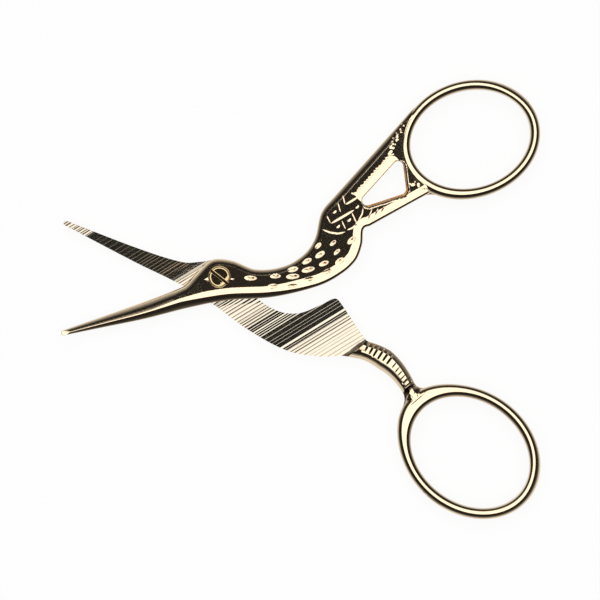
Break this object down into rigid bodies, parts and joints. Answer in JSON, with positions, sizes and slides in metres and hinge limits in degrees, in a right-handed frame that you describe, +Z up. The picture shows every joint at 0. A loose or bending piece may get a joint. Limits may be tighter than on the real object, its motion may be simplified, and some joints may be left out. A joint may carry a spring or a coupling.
{
  "type": "stork embroidery scissors",
  "caption": "Small gilt sewing scissors shaped like a stork, with a beak for blades, a feathered body and oval finger rings, turning on a slotted screw.",
  "frame": {"origin": "on the pivot axis, in the plane that the scissors lie on: the flush lower end of the pivot screw", "axes": "+X along the middle line of the open scissors, from the blade tips towards the finger rings; +Y towards the front half's finger ring; +Z up through the screw's head"},
  "size_m": [0.0799, 0.0732, 0.004],
  "materials": {
    "gilt_front": "bright pale gold plating over forged steel, polished",
    "gilt_back": "bright pale gold plating over forged steel; the inner face keeps its grinding lines",
    "gilt_screw": "turned steel screw, gold plated"
  },
  "bodies": {
    "back_body": {"back_half": "gilt_back", "pivot_screw": "gilt_screw"},
    "front_body": {"front_half": "gilt_front"}
  },
  "joints": [
    {"name": "scissor_pivot", "type": "hinge", "parent": "back_body", "child": "front_body", "pos_m": [0, 0, 0.0017], "axis": [0, 0, 1], "range_deg": [-39.1, 120]}
  ]
}
